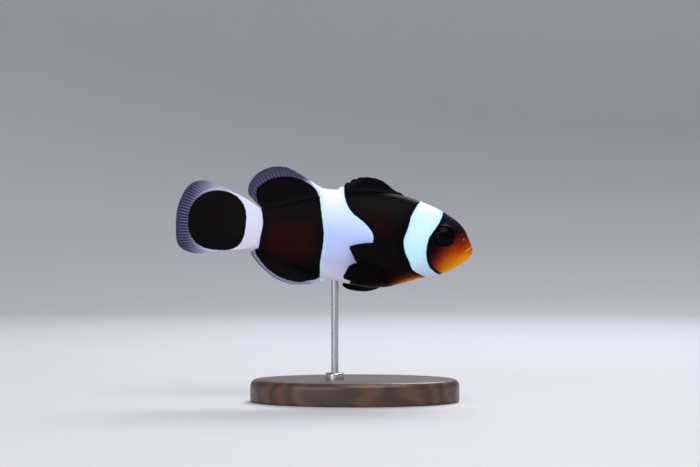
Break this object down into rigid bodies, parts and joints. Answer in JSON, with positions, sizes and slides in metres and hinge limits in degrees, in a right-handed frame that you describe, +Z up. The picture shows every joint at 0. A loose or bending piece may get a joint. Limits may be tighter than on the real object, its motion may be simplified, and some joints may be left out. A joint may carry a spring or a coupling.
{
  "type": "false clown anemonefish model on a display stand",
  "caption": "Still life-size model of a black-form clownfish with white bands and an orange face, swimming slightly nose-down, on a flat wooden base with a slim steel rod.",
  "frame": {"origin": "middle of the flat underside of the stand's base", "axes": "+X towards the fish's head, +Y towards its left side, +Z up"},
  "size_m": [0.0654, 0.03, 0.0518],
  "materials": {
    "orange_skin": "moist scaled skin, orange on the face and chest with a bluish-white band",
    "black_skin": "moist scaled skin, black with a maroon flush and bluish-white bands",
    "fin": "thin fin membrane over rays, black with a clear bluish-white margin",
    "eye": "clear wet eye over a dark maroon iris and a black pupil",
    "stand_wood": "dark stained wood, satin",
    "stand_steel": "brushed"
  },
  "bodies": {
    "root": {"head": "orange_skin", "lower_jaw": "orange_skin", "gill_cover_left": "orange_skin", "gill_cover_right": "orange_skin", "eye_left": "eye", "eye_right": "eye", "trunk": "black_skin", "tail_stem": "black_skin", "tail_fin": "fin", "dorsal_fin_spiny": "fin", "dorsal_fin_soft": "fin", "anal_fin": "fin", "pectoral_fin_left": "fin", "pectoral_fin_right": "fin", "pelvic_fin_left": "fin", "pelvic_fin_right": "fin", "stand_base": "stand_wood", "stand_collar": "stand_steel", "stand_rod": "stand_steel"}
  },
  "joints": []
}
